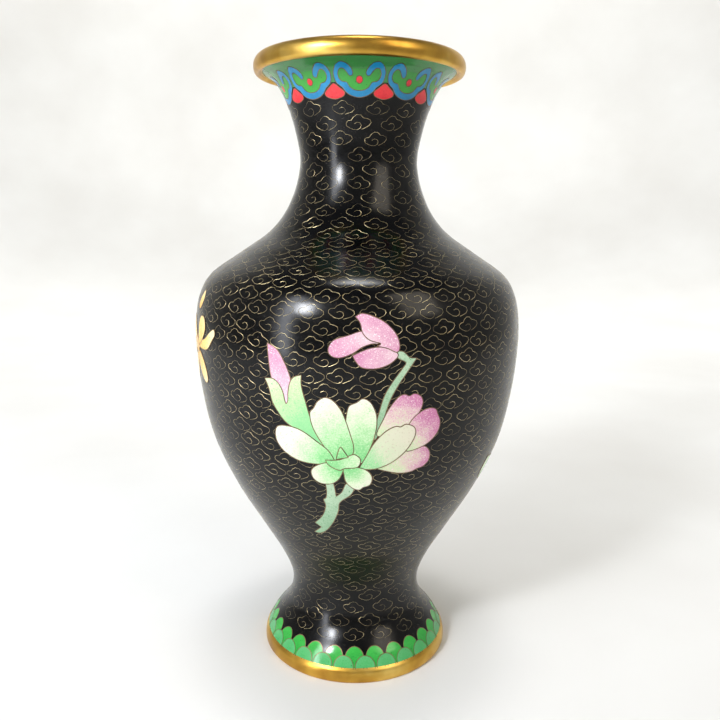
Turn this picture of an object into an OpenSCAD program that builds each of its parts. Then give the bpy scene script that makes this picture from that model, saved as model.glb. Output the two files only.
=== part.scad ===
// Cloisonne vase: spun copper body in sections, enamel cells between flush wires,
// gilt rings at the mouth and the foot. Millimetres, standing on z = 0, front towards -Y.

/* [Body] */
// Height from the foot ring to the top of the mouth ring
vase_h = 230; // [228:0.5:234]
// Widest diameter, at the belly
belly_d = 124; // [122:0.5:126]
// Narrowest diameter of the neck
neck_d = 44; // [42:0.5:46]
// Narrowest diameter above the foot
waist_d = 51.6; // [50:0.2:53]
// Height of the seam between the foot and the belly
waist_z = 25; // [23:0.5:27]
// Height of the seam between the belly and the shoulder
belly_z = 127; // [125:0.5:129]
// Height of the seam between the shoulder and the neck
neck_z = 176; // [172:0.5:180]

/* [Wall] */
// Thickness of the outer enamel
enamel_t = 0.8; // [0.6:0.1:1.2]
// Thickness of the spun copper
copper_t = 1.0; // [0.8:0.1:1.4]
// Thickness of the enamel on the inside
lining_t = 0.4; // [0.3:0.1:0.6]
// Width of the wires that part the enamel cells
wire_w = 0.4; // [0.3:0.05:0.6]

/* [Mouth ring] */
// Outer diameter of the gilt mouth ring
mouth_d = 77.6; // [76:0.2:79]
// Width of the ring's section
mouth_ring_w = 6; // [5.5:0.1:6.5]
// Height of the ring's section
mouth_ring_h = 5.4; // [5:0.1:5.8]
// How far the mouth ring's rolled lip hangs below the enamel's top edge
mouth_lip_h = 1; // [0.6:0.1:1.2]

/* [Foot] */
// Outer diameter of the gilt foot ring
foot_d = 75; // [74:0.2:76]
// Height of the foot ring
foot_ring_h = 5.8; // [5:0.1:6.2]
// Width of the foot ring's bottom face
foot_ring_w = 4.2; // [4:0.1:5]
// Height of the underside of the base disc
base_z = 9; // [8:0.5:12]

/* [Borders] */
// Number of cloud heads in the collar
heads = 10; // [9:1:11]
// Diameter of the red dot in each cloud head
dot_d = 2.2; // [1.6:0.1:2.6]
// Number of scales in each row of the foot border
scales = 27; // [26:1:28]
// Diameter of a scale in the upper row
scale_d = 7.2; // [6.6:0.1:7.4]
// Diameter of a scale in the lower row
low_scale_d = 7.6; // [7:0.1:7.6]

/* [Sprays] */
// Turn of the yellow spray away from the front
yellow_turn = -68; // [-72:1:-64]
// Turn of the leafy sprig away from the front
sprig_turn = 85; // [80:1:92]

/* [Hidden] */
$fn = 96;
// Points in each stretch of a cell outline
DETAIL = 2;
// Spacing of the cones that make up the wall
BAND = 2.5;
// Radius that reaches past the whole vase
FAR = 80;
ring_z = vase_h - mouth_ring_h;
wall_t = enamel_t + copper_t;
floor_z = base_z + copper_t;

// Outside of the enamelled body, [height, radius] from the foot to the lip
PROFILE = [
    [0, 40], [6, 36], [10, 33.7], [15, 29.6], [19, 27.2], [waist_z, waist_d / 2],
    [32, 26.7], [42, 31], [54, 38], [72, 48.4], [90, 56.2], [108, 60.2],
    [belly_z, belly_d / 2], [140, 61.2], [148, 58.6], [153, 54.6], [160, 44.4], [168, 33.2],
    [178, 26], [192, neck_d / 2], [204, 23.6], [216, 27.6], [222, 31.4], [ring_z, 35.6], [232, 44], [240, 52],
];

// Front magnolia: outlines of the cells as [x, height], a doubled point is a sharp corner
CUP_TIP = [[-6.5, 96], [-6.5, 96], [-5.8, 98.8], [-5, 100.4], [-3.6, 98.5], [-2.5, 96.8], [-2.5, 96.8]];
CUP = [[-10, 95.5], [-10, 95.5], [-5.5, 95.8], [-2, 97.5], [-0.3, 97.8], [1.4, 96], [0.5, 93.2],
    [-3.5, 92.7], [-5.5, 91.9], [-8.8, 93.5]];
SEPAL_LEFT = [[-8.5, 94.5], [-12.5, 93.4], [-14.7, 91], [-14, 88], [-11.5, 86.3], [-8, 86.4],
    [-5.5, 88.5], [-4.1, 92], [-4.1, 92]];
SEPAL_RIGHT = [[-3.8, 93], [1, 93], [4, 91.5], [5.3, 89], [4.6, 86.2], [2.4, 85.2], [1.2, 84.2],
    [-1, 84.8], [-3.2, 87.2], [-3.9, 90]];
PETAL_LEFT = [[-26.4, 104.5], [-25, 106.3], [-21, 106.4], [-17, 105], [-12.5, 101.8], [-9, 99],
    [-7, 95.6], [-7, 95.6], [-10, 94], [-15.5, 93.8], [-20, 94.9], [-24, 97.5], [-26.2, 101]];
PETAL_CREAM = [[0.8, 92.5], [0.8, 92.5], [3.4, 97.5], [6, 102.3], [9.5, 106], [12.5, 107.5], [14.2, 107.3],
    [16, 108.1], [18.6, 106.9], [19.1, 104.3], [17.6, 100.8], [15, 97.4], [11, 94.3], [6, 92.4]];
PETAL_MID_LEFT = [[-14.8, 112], [-13.6, 113.6], [-12.4, 115.8], [-10, 117.3], [-7.3, 116.2], [-4.8, 113],
    [-3.2, 109], [-1.8, 104.5], [-0.8, 100.5], [-1.4, 97.6], [-4.5, 95.6], [-7.3, 95.4],
    [-10, 99.8], [-13, 104.8], [-14.5, 108.7]];
PETAL_MID_RIGHT = [[-3, 112.5], [-2.2, 114.8], [0, 115.9], [2, 117.2], [4.5, 115.8], [6.2, 112],
    [6.4, 107.5], [5.2, 102], [3.4, 97.5], [1.4, 94.5], [-2, 97], [-2.5, 103], [-3.4, 108]];
PINK_MID = [[17.2, 108.6], [20, 111.6], [23, 113], [25.5, 112.6], [26.4, 110.6], [27.3, 108],
    [26.8, 104.6], [24.3, 101.3], [21, 99.4], [16, 98.5], [15, 103]];
PINK_TOP = [[6.6, 104.5], [8.3, 109.6], [10.5, 114], [13, 117.3], [15.2, 118.3], [16.7, 117.7],
    [18.5, 118.4], [20.6, 117.2], [21.2, 115], [20.2, 112], [17, 107], [12, 104.5]];
PINK_LOW = [[16, 98.5], [20.5, 99.5], [22.8, 99.4], [24.3, 97], [24, 94], [22.2, 92], [20.2, 91.4],
    [17.8, 90.4], [13.5, 90.4], [7, 92.3], [7, 92.3], [11, 96]];
CALYX = [[-29.6, 122], [-29.6, 122], [-28.2, 118.5], [-27.3, 114.5], [-25.4, 111], [-22.5, 107.5],
    [-16, 103.5], [-9, 98.5], [-9.6, 101.8], [-12.3, 105.5], [-14.6, 109.8], [-16.1, 115],
    [-17.5, 120.5], [-17.5, 124.2], [-17.5, 124.2], [-20, 123.3], [-21.3, 121.2], [-21.9, 118],
    [-22, 115.4], [-22.6, 114.2], [-23.1, 115.6], [-23.6, 118], [-24.9, 120.6], [-27, 122.2]];
BUD = [[-28.6, 133.6], [-28.6, 133.6], [-25.5, 132], [-23, 128], [-21.2, 123.4], [-20.6, 119],
    [-20.8, 114.5], [-22.4, 112.6], [-24.2, 114.5], [-25.6, 118], [-27.4, 122.4], [-28.2, 128]];
STEM_UPPER = [[5.8, 103], [6.1, 108], [7, 112], [8.7, 118], [11.2, 122.5], [14.4, 127],
    [15.2, 128.7], [12.6, 130.2], [12.2, 132.2], [14.5, 132.1], [16.6, 130.2], [18.8, 130],
    [18.8, 130], [15.6, 125.2], [12.6, 120.5], [10, 114.8], [7.6, 106]];
STEM_LOWER = [[-10.2, 88], [-8, 88], [-7, 84.2], [-6.6, 81], [-6.6, 81], [-4.7, 83], [-3.2, 86.5],
    [-0.6, 85], [-1.8, 81.8], [-5.3, 78.5], [-5.9, 74.5], [-7.4, 69.8], [-9.8, 65.2],
    [-12.4, 63], [-14.5, 63.2], [-14.5, 63.2], [-12, 66.2], [-12, 66.2], [-14.2, 68], [-14.2, 68],
    [-11.4, 72], [-10.2, 76.5], [-10.9, 79.3], [-10, 80.3], [-9.8, 83.5]];
BLOOM_TOP = [[-0.6, 143], [-0.6, 143], [1.5, 144], [5, 143.1], [9, 141], [12.2, 137.5], [13.3, 133.8],
    [12.4, 132], [9.3, 133.3], [6, 134], [6, 134], [7.3, 134.8], [4, 135.8], [1.7, 138], [0.9, 141]];
BLOOM_BOTTOM = [[-1.4, 131], [-1.4, 131], [1, 132.2], [4.5, 133.5], [8.5, 133.6], [12, 132.2],
    [12.7, 130.6], [10, 128.2], [6, 126.9], [1.6, 127.2], [-0.3, 129]];
BLOOM_LEFT = [[2, 138.7], [-3, 137.2], [-7.3, 135.7], [-9, 133], [-8.2, 130.9], [-5.5, 130.2],
    [-1.5, 131.6], [1.5, 133.6], [4.6, 134.7], [6.6, 134.8], [4.5, 136.6]];
// From front to back, so that each cell stops at the ones before it
MAGNOLIA = [CUP_TIP, CUP, SEPAL_LEFT, SEPAL_RIGHT, PETAL_LEFT, PETAL_CREAM, PETAL_MID_LEFT,
    PETAL_MID_RIGHT, PINK_MID, PINK_TOP, PINK_LOW, CALYX, BUD, STEM_UPPER, STEM_LOWER,
    BLOOM_TOP, BLOOM_BOTTOM, BLOOM_LEFT];
LAST_PETAL = 10;
LAST_BUD = 12;
LAST_STEM = 14;
LAST_BLOOM = 17;
// Lowest and highest the spray reaches
MAGNOLIA_SPAN = [60, 146];

// Yellow spray, [x, height] seen square on
YELLOW_HEART = [[-2.6, 127.4], [0, 130], [2.6, 127.4], [0, 124.8]];
YELLOW_PETALS = [
    [[0.5, 128], [1.8, 133], [2.4, 136.2], [4.6, 138.4], [8, 138], [9.6, 134.4], [7, 130.5], [3, 128]],
    [[1, 127.6], [5.5, 126.8], [11.5, 127.4], [15.5, 130.8], [17.6, 133.2], [16.8, 135], [14, 133.8],
        [9.6, 131], [4, 129.5]],
    [[-1.5, 126], [3, 125.6], [7, 122.5], [9, 118.7], [9, 115.8], [6.6, 114.5], [2.8, 116.7], [0, 120.7]],
    [[0, 128.5], [-3, 133], [-6.5, 137], [-9.6, 137.4], [-10.6, 134.4], [-7, 130], [-2, 127.5]],
    [[-1, 128], [-7, 128.8], [-13, 128.2], [-16, 125.6], [-14.4, 123], [-9, 123.2], [-3, 125.5]],
    [[-0.5, 126], [-1.5, 121.5], [-3.5, 117], [-7, 114], [-10, 115], [-8.6, 118.4], [-5, 122.4], [-2.5, 126]],
];
YELLOW_BUD = [[1.6, 147.6], [1.6, 147.6], [3.6, 145.2], [3, 142.3], [1, 140.6], [-1.5, 141], [-1.2, 144]];
YELLOW_STEM = [[-2, 126], [-9, 121.5], [-15, 114.5], [-19, 106], [-21.4, 97], [-19.2, 96], [-16.6, 105.5],
    [-12.5, 113.2], [-7, 119.6], [-0.5, 124]];
YELLOW_LEAVES = [
    [[-14.5, 113], [-20, 116.4], [-26, 118.6], [-32, 118], [-32, 118], [-28, 113.6], [-22, 110.6], [-16, 109.6]],
    [[-18, 104], [-24, 104.6], [-30, 102], [-34, 97.4], [-34, 97.4], [-28, 96.6], [-22, 98.6]],
];
YELLOW_SPAN = [92, 150];
YELLOW = concat([YELLOW_HEART], YELLOW_PETALS, [YELLOW_BUD, YELLOW_STEM], YELLOW_LEAVES);
HEART = 0;
FIRST_PETAL = 1;
YELLOW_BUD_AT = FIRST_PETAL + len(YELLOW_PETALS);
YELLOW_STEM_AT = YELLOW_BUD_AT + 1;
FIRST_YELLOW_LEAF = YELLOW_STEM_AT + 1;

// Leafy sprig, [x, height] seen square on
SPRIG_LEAVES = [
    [[-21.6, 86.6], [-21.6, 86.6], [-21.2, 81.5], [-17.5, 77], [-11, 74.6], [-3, 75.4], [-8, 80.6], [-14, 85.4]],
    [[-1, 77.6], [2.4, 84], [9, 88.6], [16, 89], [16, 89], [13, 82.6], [6, 78.4]],
];
SPRIG_BUD = [[5, 103.8], [1.6, 109], [1.8, 114.5], [5.4, 120], [5.4, 120], [9.6, 115.4], [10.4, 109.4], [9, 103.8]];
SPRIG_STEM = [[-6, 72.5], [-2.2, 77.5], [2.8, 88], [5.2, 98], [5.8, 105], [8.2, 105], [7.4, 98], [5, 87.4],
    [0.6, 76.4], [-3.6, 70.4]];
SPRIG_SPAN = [68, 122];
SPRIG = concat(SPRIG_LEAVES, [SPRIG_BUD, SPRIG_STEM]);
SPRIG_BUD_AT = len(SPRIG_LEAVES);
SPRIG_STEM_AT = SPRIG_BUD_AT + 1;

// Collar, right half of one cloud head: its outer edge, then the scroll back to the middle
HEAD_EDGE = [[0, 212.6], [2.8, 213.2], [4.6, 214.4], [5.6, 215.6], [7.6, 217], [8.45, 218.8], [8.7, 220.4]];
HEAD_TIP = [8.2, 221.9];
SCROLL = [
    [7, 222.8], [5.4, 222.8], [3.6, 222], [2.4, 220.6], [2.3, 219.3], [3.3, 219],
    [4.2, 220], [5.4, 221.1], [6.6, 221.1], [7.2, 220], [6.9, 218.6], [5.8, 217.5], [4.2, 217.2],
    [3.2, 215.8], [1.6, 214.9], [0, 214.7],
];
PENDANT = [[0, 217], [1.6, 216], [3.5, 214.3], [2.9, 213], [0, 212.2], [-2.9, 213], [-3.5, 214.3], [-1.6, 216]];
// Right half of the gap between two heads, its side under the blue bands
GAP = [[8.9, 211], [8.9, 213], [6.2, 214.5], [4, 215.8], [1.9, 217.3]];
// Lowest red, lowest green, and the height from which all the ground is green
COLLAR_LOW = 211.5;
GREEN_LOW = 214.5;
COLLAR_MID = 217.3;
DOT_Z = 217.9;
// Centre of the upper scales and top of the foot border
SCALE_Z = 8.6;
FOOT_TOP = 13;

// Point at t between b and c on the curve that passes through a, b, c and d
function curve(a, b, c, d, t) =
    b + t * (c - a) / 2 + t * t * (a - 2.5 * b + 2 * c - d / 2) + t * t * t * (1.5 * (b - c) + (d - a) / 2);

// Closed smooth outline through the given points
function smooth(pts) = let (n = len(pts)) [
    for (i = [0 : n - 1])
        if (pts[i] != pts[(i + 1) % n])
            for (j = [0 : DETAIL - 1])
                curve(pts[(i + n - 1) % n], pts[i], pts[(i + 1) % n], pts[(i + 2) % n], j / DETAIL)
];

function unit(v) = v / norm(v);
function total(v, i = 0) = i < len(v) ? v[i] + total(v, i + 1) : 0;

// Twice the area inside an outline, positive when it runs anticlockwise
function turning(pts) = let (n = len(pts))
    total([for (i = [0 : n - 1]) let (a = pts[i], b = pts[(i + 1) % n]) a.x * b.y - b.x * a.y]);

// An outline moved outwards by d, as it is and smoothed
function shifted(s, d) = let (n = len(s), side = sign(turning(s))) [
    for (i = [0 : n - 1])
        let (t = unit(unit(s[(i + 1) % n] - s[i]) + unit(s[i] - s[(i + n - 1) % n])))
            s[i] + side * d * [t.y, -t.x]
];
function grown(pts, d) = shifted(smooth(pts), d);

// Slope of the profile at its point i, and its radius at height z
function slope(i) = (PROFILE[i + 1][1] - PROFILE[i - 1][1]) / (PROFILE[i + 1][0] - PROFILE[i - 1][0]);
function span_at(z, i = 1) = i >= len(PROFILE) - 3 || z < PROFILE[i + 1][0] ? i : span_at(z, i + 1);
function radius(z) = let (
        i = span_at(z), h = PROFILE[i + 1][0] - PROFILE[i][0], t = (z - PROFILE[i][0]) / h)
    PROFILE[i][1] * (1 + 2 * t) * (1 - t) * (1 - t) + h * slope(i) * t * (1 - t) * (1 - t)
    + PROFILE[i + 1][1] * t * t * (3 - 2 * t) + h * slope(i + 1) * t * t * (t - 1);

// Outline of the wall at depth d under the outer surface
function skin(d) = [
    for (z = [foot_ring_h - 2 * BAND : BAND : ring_z + BAND])
        let (n = unit([0.2, radius(z - 0.1) - radius(z + 0.1)]))
            [radius(z) - d * n.x, z - d * n.y]
];
function reversed(v) = [for (i = [len(v) - 1 : -1 : 0]) v[i]];

// Part of the wall from depth d0 to d1 and from height z0 to z1, all round or a wedge facing front
module wall(z0, z1, d0, d1, wedge = 360) {
    rotate_extrude(start = -90 - wedge / 2, angle = wedge)
        intersection() {
            polygon(concat(skin(d0), reversed(skin(d1))));
            translate([0, z0]) square([FAR, z1 - z0]);
        }
}

// Flat disc that fills the wall at depth d
module disc(z0, z1, d) {
    rotate_extrude()
        intersection() {
            polygon(concat(skin(d), [[0, vase_h], [0, 0]]));
            translate([0, z0]) square([FAR, z1 - z0]);
        }
}

// Outer enamel between two heights
module enamel(z0, z1, wedge = 360) wall(z0, z1, 0, enamel_t, wedge);

// A flat drawing carried straight through the wall, turned away from the front
module through(turn = 0) rotate([90, 0, turn]) linear_extrude(FAR) children();

module full(pts) polygon(grown(pts, wire_w / 2));
module all_full(cells) for (pts = cells) full(pts);

// Cell i of a spray, without the cells in front of it
module cell(cells, i) {
    difference() {
        polygon(grown(cells[i], -wire_w / 2));
        for (j = [0 : 1 : i - 1]) full(cells[j]);
    }
}

// A drawing filled with enamel between the two heights of span
module inlay(span, turn = 0) {
    intersection() {
        enamel(span[0], span[1]);
        through(turn) children();
    }
}

// Wires round cells first to last of a spray, without those round the cells in front of them
module wires(cells, first, last, span, turn = 0) {
    inlay(span, turn)
        difference() {
            for (i = [first : last]) full(cells[i]);
            for (i = [first : last]) cell(cells, i);
            for (j = [0 : 1 : first - 1]) full(cells[j]);
        }
}

module magnolia_cell(i) inlay(MAGNOLIA_SPAN) cell(MAGNOLIA, i);
module yellow_cells(list) inlay(YELLOW_SPAN, yellow_turn) for (i = list) cell(YELLOW, i);
module sprig_cells(list) inlay(SPRIG_SPAN, sprig_turn) for (i = list) cell(SPRIG, i);

// Collar drawings of one cloud head, outlines moved outwards by d
head_turn = 360 / heads;
function left_half(half) = [for (p = reversed(half)) if (p.x > 0) [-p.x, p.y]];
function both_sides(half) = concat(half, left_half(half));
module band_drawing(d) polygon(shifted(both_sides(concat(HEAD_EDGE, [HEAD_TIP], SCROLL)), d));
module pendant_drawing(d) polygon(shifted(PENDANT, d));
module dot_drawing(d) translate([0, DOT_Z]) circle(d = dot_d + 2 * d);
module head_drawing(d) polygon(shifted(both_sides(concat(HEAD_EDGE, [[8.7, vase_h]])), d));
// A wire laid along an open line that runs from left to right
module wire_drawing(line) {
    n = len(line);
    side = [
        for (i = [0 : n - 1])
            let (t = unit(line[min(i + 1, n - 1)] - line[max(i - 1, 0)])) wire_w / 2 * [-t.y, t.x]
    ];
    polygon(concat(line + side, reversed(line - side)));
}
module round_collar(turn = 0) for (i = [0 : heads - 1]) rotate([0, 0, i * head_turn + turn]) children();
module collar_part() {
    intersection() {
        enamel(COLLAR_LOW, ring_z, 2 * head_turn);
        through() children();
    }
}
// A drawing carried through the wall only, from radius r outwards, so that neighbours stay apart
module near_wall(r) rotate([90, 0, 0]) translate([0, 0, r]) linear_extrude(mouth_d / 4) children();
module collar_cut(turn = 0) round_collar(turn) near_wall(neck_d / 2) children();

// Foot drawings, one scale wide
scale_turn = 360 / scales;
module scale_drawing(z, size, d) {
    translate([0, z]) circle(d = size + 2 * d);
    translate([-size / 2 - d, 0]) square([size + 2 * d, z]);
}
module lower_scale(d, turn = 0) through(turn) scale_drawing(foot_ring_h, low_scale_d, d);
module side_scales() for (turn = [-1, 1] * scale_turn / 2) lower_scale(wire_w / 2, turn);
module round_foot(turn = 0) for (i = [0 : scales - 1]) rotate([0, 0, i * scale_turn + turn]) children();
module foot_cut(turn = 0) round_foot(turn) near_wall(waist_d * 0.58) children();
module foot_part() {
    intersection() {
        enamel(foot_ring_h, FOOT_TOP, 2 * scale_turn);
        through() children();
    }
}

module mouth_ring() {
    out_r = mouth_d / 2;
    in_r = out_r - mouth_ring_w;
    color("#d9a22e")
        rotate_extrude()
            polygon(smooth([
                [out_r, ring_z + mouth_ring_h * 0.4], [out_r - 0.9, ring_z + mouth_ring_h * 0.82],
                [out_r - 2.8, vase_h], [in_r + 0.9, vase_h - mouth_ring_h * 0.2],
                [in_r, ring_z + mouth_ring_h * 0.35], [in_r + 0.2, ring_z], [in_r + 0.2, ring_z],
                [out_r - 2.6, ring_z], [out_r - 2.6, ring_z], [out_r - 1.6, ring_z - mouth_lip_h],
                [out_r - 0.4, ring_z - mouth_lip_h * 0.2],
            ]));
}

module foot_ring() {
    out_r = foot_d / 2;
    color("#d9a22e")
        rotate_extrude()
            polygon([
                [out_r - foot_ring_w, 0], [out_r - 0.5, 0], [out_r, 0.6], [out_r - 0.2, 3],
                [out_r - 0.8, foot_ring_h - 0.6], [out_r - 1.4, foot_ring_h],
                [out_r - foot_ring_w, foot_ring_h],
            ]);
}

module neck_wall() color("#b87333") wall(neck_z, ring_z, enamel_t, wall_t);
module shoulder_wall() color("#b06c30") wall(belly_z, neck_z, enamel_t, wall_t);
module belly_wall() color("#b87333") wall(waist_z, belly_z, enamel_t, wall_t);
module foot_wall() color("#b06c30") wall(foot_ring_h, waist_z, enamel_t, wall_t);
module base_disc() color("#c07a3a") disc(base_z, floor_z, wall_t);

module neck_lining() color("#2f8fc0") wall(neck_z, ring_z, wall_t, wall_t + lining_t);
module body_lining() color("#2f8fc0") wall(floor_z + lining_t, neck_z, wall_t, wall_t + lining_t);
module floor_lining() color("#2f8fc0") disc(floor_z, floor_z + lining_t, wall_t);
module foot_lining() color("#2f8fc0") wall(foot_ring_h, base_z, wall_t, wall_t + lining_t);
module base_enamel() color("#2f8fc0") disc(base_z - lining_t, base_z, wall_t + lining_t);

module neck_ground() {
    color("#17171a")
        difference() {
            enamel(neck_z, COLLAR_MID);
            collar_cut() head_drawing(wire_w / 2);
            collar_cut(head_turn / 2) pendant_drawing(wire_w / 2);
        }
}
module body_ground() {
    color("#17171a")
        difference() {
            enamel(waist_z, neck_z);
            through() all_full(MAGNOLIA);
            through(yellow_turn) all_full(YELLOW);
            through(sprig_turn) all_full(SPRIG);
        }
}
module foot_ground() {
    color("#17171a")
        difference() {
            enamel(SCALE_Z, waist_z);
            foot_cut() scale_drawing(SCALE_Z, scale_d, wire_w / 2);
            foot_cut(scale_turn / 2) scale_drawing(foot_ring_h, low_scale_d, wire_w / 2);
        }
}

// Green inside each cloud head and above the pendants
module collar_ground() {
    color("#3fae45")
        difference() {
            enamel(GREEN_LOW, ring_z);
            collar_cut() band_drawing(wire_w / 2);
            collar_cut() dot_drawing(wire_w / 2);
            collar_cut(head_turn / 2) polygon(both_sides(GAP));
        }
}
module collar_bands() color("#2a94d2") round_collar() collar_part() band_drawing(-wire_w / 2);
module collar_dots() color("#e0303a") round_collar() collar_part() dot_drawing(-wire_w / 2);
module collar_pendants() {
    color("#e8303a")
        round_collar(head_turn / 2) collar_part() pendant_drawing(-wire_w / 2);
}
module head_wires() {
    tips = concat(HEAD_EDGE, [HEAD_TIP]);
    color("#c9a24a") round_collar() collar_part() wire_drawing(concat(left_half(tips), tips));
}
module scroll_wires() {
    low = reversed(SCROLL);
    color("#c9a24a") round_collar() collar_part() wire_drawing(concat(left_half(low), low));
}
module dot_wires() {
    color("#c9a24a")
        round_collar()
            difference() {
                collar_part() dot_drawing(wire_w / 2);
                through() dot_drawing(-wire_w / 2);
            }
}
module pendant_wires() {
    color("#c9a24a")
        round_collar(head_turn / 2)
            difference() {
                collar_part() pendant_drawing(wire_w / 2);
                through() pendant_drawing(-wire_w / 2);
            }
}

module foot_scales_lower() {
    color("#55c46c")
        round_foot(scale_turn / 2) foot_part() scale_drawing(foot_ring_h, low_scale_d, -wire_w / 2);
}
module foot_scales_upper() {
    color("#3ec24a")
        round_foot()
            difference() {
                foot_part() scale_drawing(SCALE_Z, scale_d, -wire_w / 2);
                side_scales();
            }
}
module lower_scale_wires() {
    color("#c9a24a")
        round_foot(scale_turn / 2)
            difference() {
                foot_part() scale_drawing(foot_ring_h, low_scale_d, wire_w / 2);
                lower_scale(-wire_w / 2);
            }
}
module upper_scale_wires() {
    color("#c9a24a")
        round_foot()
            difference() {
                foot_part() scale_drawing(SCALE_Z, scale_d, wire_w / 2);
                through() scale_drawing(SCALE_Z, scale_d, -wire_w / 2);
                side_scales();
            }
}

module cup_tip() color("#7fdc94") magnolia_cell(0);
module flower_cup() color("#c8ecc4") magnolia_cell(1);
module sepal_left() color("#b4eab0") magnolia_cell(2);
module sepal_right() color("#cfeecb") magnolia_cell(3);
module petal_left() color("#dff3d6") magnolia_cell(4);
module petal_cream() color("#f0e9dc") magnolia_cell(5);
module petal_mid_left() color("#e2f4dc") magnolia_cell(6);
module petal_mid_right() color("#e8f5e0") magnolia_cell(7);
module petal_pink_mid() color("#dfa8c0") magnolia_cell(8);
module petal_pink_top() color("#dc8fbd") magnolia_cell(9);
module petal_pink_low() color("#dfa0c4") magnolia_cell(10);
module bud_calyx() color("#b9ecb4") magnolia_cell(11);
module bud_petal() color("#eeb4d6") magnolia_cell(12);
module stem_upper() color("#a5cf9d") magnolia_cell(13);
module stem_lower() color("#9fcaa2") magnolia_cell(14);
module bloom_top() color("#eec6dc") magnolia_cell(15);
module bloom_bottom() color("#eeb0d2") magnolia_cell(16);
module bloom_left() color("#f1cfe2") magnolia_cell(17);
module flower_wires() color("#8c6f45") wires(MAGNOLIA, 0, LAST_PETAL, MAGNOLIA_SPAN);
module bud_wires() color("#8c6f45") wires(MAGNOLIA, LAST_PETAL + 1, LAST_BUD, MAGNOLIA_SPAN);
module stem_wires() color("#8c6f45") wires(MAGNOLIA, LAST_BUD + 1, LAST_STEM, MAGNOLIA_SPAN);
module bloom_wires() color("#8c6f45") wires(MAGNOLIA, LAST_STEM + 1, LAST_BLOOM, MAGNOLIA_SPAN);

module yellow_heart() color("#e08a2c") yellow_cells([HEART]);
module yellow_petals() color("#f4c869") yellow_cells([FIRST_PETAL : YELLOW_BUD_AT - 1]);
module yellow_bud() color("#f2d48c") yellow_cells([YELLOW_BUD_AT]);
module yellow_stem() color("#9fcaa2") yellow_cells([YELLOW_STEM_AT]);
module yellow_leaves() color("#8fd69a") yellow_cells([FIRST_YELLOW_LEAF : len(YELLOW) - 1]);
module yellow_wires() color("#8c6f45") wires(YELLOW, 0, len(YELLOW) - 1, YELLOW_SPAN, yellow_turn);

module sprig_leaves() color("#b9e0a4") sprig_cells([0 : SPRIG_BUD_AT - 1]);
module sprig_bud() color("#eeb4d6") sprig_cells([SPRIG_BUD_AT]);
module sprig_stem() color("#9fcaa2") sprig_cells([SPRIG_STEM_AT]);
module sprig_wires() color("#8c6f45") wires(SPRIG, 0, len(SPRIG) - 1, SPRIG_SPAN, sprig_turn);

mouth_ring();
neck_wall();
shoulder_wall();
belly_wall();
foot_wall();
base_disc();
foot_ring();
neck_lining();
body_lining();
floor_lining();
foot_lining();
base_enamel();
neck_ground();
body_ground();
foot_ground();
collar_ground();
collar_bands();
collar_dots();
collar_pendants();
head_wires();
scroll_wires();
dot_wires();
pendant_wires();
foot_scales_upper();
foot_scales_lower();
upper_scale_wires();
lower_scale_wires();
flower_cup();
cup_tip();
sepal_left();
sepal_right();
petal_left();
petal_cream();
petal_mid_left();
petal_mid_right();
petal_pink_mid();
petal_pink_top();
petal_pink_low();
bud_calyx();
bud_petal();
stem_upper();
stem_lower();
bloom_top();
bloom_bottom();
bloom_left();
flower_wires();
bud_wires();
stem_wires();
bloom_wires();
yellow_heart();
yellow_petals();
yellow_bud();
yellow_stem();
yellow_leaves();
yellow_wires();
sprig_leaves();
sprig_bud();
sprig_stem();
sprig_wires();
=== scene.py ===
import math
import random

import bmesh
import bpy
import numpy as np
from mathutils import Matrix, Vector


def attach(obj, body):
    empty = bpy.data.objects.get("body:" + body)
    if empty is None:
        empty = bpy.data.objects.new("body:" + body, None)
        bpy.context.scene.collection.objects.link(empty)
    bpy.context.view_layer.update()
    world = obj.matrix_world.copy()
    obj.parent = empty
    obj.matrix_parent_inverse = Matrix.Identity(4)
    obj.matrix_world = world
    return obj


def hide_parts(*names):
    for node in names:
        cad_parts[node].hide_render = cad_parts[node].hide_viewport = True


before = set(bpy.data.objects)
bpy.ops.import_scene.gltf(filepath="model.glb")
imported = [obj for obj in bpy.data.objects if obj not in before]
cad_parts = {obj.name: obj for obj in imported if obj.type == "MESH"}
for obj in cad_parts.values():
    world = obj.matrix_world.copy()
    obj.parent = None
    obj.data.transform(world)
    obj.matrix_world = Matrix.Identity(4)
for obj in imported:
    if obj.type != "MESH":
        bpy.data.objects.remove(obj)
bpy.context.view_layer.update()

# Body: four sections spun from 1 mm copper sheet and a base disc, butt joined and brazed.
# Enamel covers the copper inside and out, so only a hair of its edge shows under the rings.
MM = 0.001
COPPER_EDGE = "#8a4a26"
COPPER_FACE = "#c07a4a"


def linear(colour):
    """An sRGB hex colour as the linear colour that shaders take."""
    channels = [int(colour[i : i + 2], 16) / 255 for i in (1, 3, 5)]
    return [c / 12.92 if c <= 0.04045 else ((c + 0.055) / 1.055) ** 2.4 for c in channels] + [1]


def add(material, kind, settings, links=()):
    """Adds a node, sets its sockets or properties (stops are a ramp's colours), and links its inputs."""
    node = material.node_tree.nodes.new(kind)
    for name, value in settings.items():
        if name == "stops":
            marks = node.color_ramp.elements
            marks[0].position, marks[1].position = value[0][0], value[-1][0]
            marks[0].color, marks[1].color = linear(value[0][1]), linear(value[-1][1])
            for at, colour in value[1:-1]:
                marks.new(at).color = linear(colour)
        elif isinstance(name, int) or name in node.inputs:
            node.inputs[name].default_value = value
        else:
            setattr(node, name, value)
    for name, output in dict(links).items():
        material.node_tree.links.new(output, node.inputs[name])
    return node


def started(name):
    """A new material, and the place, in metres, that its patterns are laid by."""
    material = bpy.data.materials.new(name)
    material.use_nodes = True
    material.node_tree.nodes.clear()
    place = add(material, "ShaderNodeTexCoord", {}).outputs["Object"]
    return material, place


def finished(material, shader):
    add(material, "ShaderNodeOutputMaterial", {}, {"Surface": shader.outputs[0]})
    return material


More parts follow.
